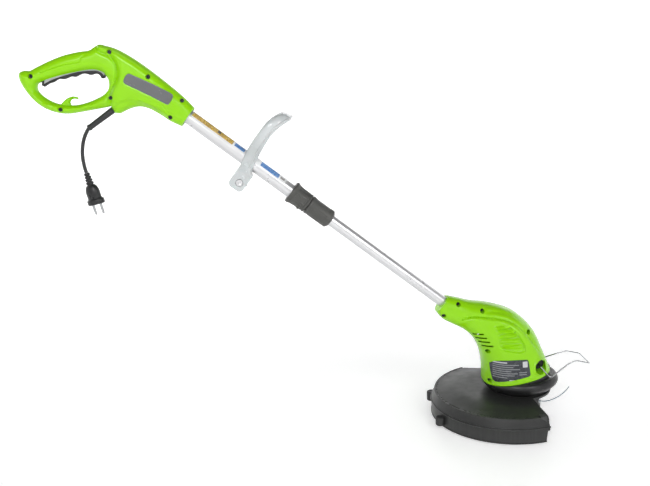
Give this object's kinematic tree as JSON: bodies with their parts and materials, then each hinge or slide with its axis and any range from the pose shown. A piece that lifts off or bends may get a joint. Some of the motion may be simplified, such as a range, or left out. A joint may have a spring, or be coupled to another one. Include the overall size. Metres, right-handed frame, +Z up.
{
  "type": "string trimmer",
  "caption": "Corded grass trimmer with a rear loop handle, telescopic shaft, assist handle, motor head, half guard, edge guide and a line spool.",
  "frame": {"origin": "middle of the rear grip, on the tool's mid plane", "axes": "+X from the grip towards the cutting head, +Z up with the tool in its working posture, +Y to the user's left, so the screw heads face -Y"},
  "size_m": [1.0165, 0.2747, 0.7362],
  "materials": {
    "green_shell": "satin lime green moulding",
    "charcoal_plastic": "dark grey moulding",
    "black_plastic": "fine-grained black moulding",
    "black_rubber": "soft black sheath",
    "frosted_plastic": "pale translucent moulding",
    "badge_grey": "smooth grey plate",
    "sticker": "printed plastic film",
    "aluminium_tube": "satin drawn tube",
    "bright_steel": "zinc-plated steel",
    "dark_steel": "blackened steel",
    "copper": "copper windings and segments",
    "carbon": "pressed carbon",
    "line_teal": "nylon line",
    "pale_plastic": "unpigmented nylon"
  },
  "bodies": {
    "handle": {"handle_shell_right": "green_shell", "handle_shell_left": "green_shell", "handle_screw_1": "dark_steel", "handle_screw_2": "dark_steel", "handle_screw_3": "dark_steel", "handle_screw_4": "dark_steel", "handle_screw_5": "dark_steel", "handle_screw_6": "dark_steel", "handle_screw_7": "dark_steel", "trigger_spring": "bright_steel", "trigger_switch": "black_plastic", "strain_relief": "black_rubber", "badge_plate": "badge_grey", "mains_cord": "black_rubber", "plug_body": "black_plastic", "plug_pin_a": "bright_steel", "plug_pin_b": "bright_steel", "upper_tube": "aluminium_tube", "tube_sticker": "sticker", "coiled_lead": "black_rubber", "lock_collar": "black_plastic", "lock_collet": "pale_plastic"},
    "trigger": {"trigger": "charcoal_plastic"},
    "lock_sleeve": {"lock_sleeve": "black_plastic"},
    "assist_handle": {"assist_handle": "frosted_plastic", "clamp_bolt": "bright_steel"},
    "clamp_knob": {"clamp_knob": "black_plastic"},
    "motor_unit": {"lower_tube": "aluminium_tube", "shaft_lead": "black_rubber", "motor_housing_right": "green_shell", "motor_housing_left": "green_shell", "housing_screw_1": "dark_steel", "housing_screw_2": "dark_steel", "housing_screw_3": "dark_steel", "housing_screw_4": "dark_steel", "housing_screw_5": "dark_steel", "housing_screw_6": "dark_steel", "motor_base": "black_plastic", "bearing_lower": "bright_steel", "bearing_upper": "bright_steel", "stator": "dark_steel", "brush_bracket": "black_plastic", "brush_right": "carbon", "brush_left": "carbon", "guard": "charcoal_plastic", "cutter_blade": "bright_steel", "blade_screw": "bright_steel"},
    "edge_guide": {"edge_guide": "bright_steel"},
    "rotor": {"motor_shaft": "bright_steel", "armature": "copper", "commutator": "copper", "cooling_fan": "pale_plastic", "spool_housing": "black_plastic", "spool_cover": "charcoal_plastic", "arbor_nut": "bright_steel", "cutting_line": "line_teal", "spool_spring": "bright_steel"},
    "bump_feed": {"bump_knob": "black_plastic", "line_spool": "charcoal_plastic", "wound_line": "line_teal"}
  },
  "joints": [
    {"name": "trigger_pull", "type": "hinge", "parent": "handle", "child": "trigger", "pos_m": [-0.03313, 0, -0.01023], "axis": [0, -1, 0], "range_deg": [0, 3.3], "stiffness_Nm_per_rad": 0.5, "springref_deg": -11.46, "deforming": ["trigger_spring"]},
    {"name": "lock_turn", "type": "hinge", "parent": "handle", "child": "lock_sleeve", "pos_m": [0.43891, 0, -0.28523], "axis": [0.7705, 0, -0.6374], "range_deg": [0, 90]},
    {"name": "assist_slide", "type": "slide", "parent": "handle", "child": "assist_handle", "axis": [0.7705, 0, -0.6374], "range_m": [-0.07, 0.05]},
    {"name": "clamp_turn", "type": "hinge", "parent": "assist_handle", "child": "clamp_knob", "pos_m": [0.29541, 0.0178, -0.22102], "axis": [0, 1, 0], "range_deg": [-360, 0]},
    {"name": "shaft_slide", "type": "slide", "parent": "handle", "child": "motor_unit", "axis": [0.7705, 0, -0.6374], "range_m": [-0.2, 0], "deforming": ["coiled_lead"]},
    {"name": "edge_guide_swing", "type": "hinge", "parent": "motor_unit", "child": "edge_guide", "pos_m": [0.838, 0, -0.596], "axis": [0, -1, 0], "range_deg": [0, 95]},
    {"name": "rotor_spin", "type": "hinge", "parent": "motor_unit", "child": "rotor", "pos_m": [0.803, 0, -0.641], "axis": [0, 0, 1], "continuous": true},
    {"name": "bump_slide", "type": "slide", "parent": "rotor", "child": "bump_feed", "axis": [0, 0, 1], "range_m": [0, 0.005], "stiffness_N_per_m": 1200, "springref_m": -0.008, "deforming": ["spool_spring"]}
  ]
}
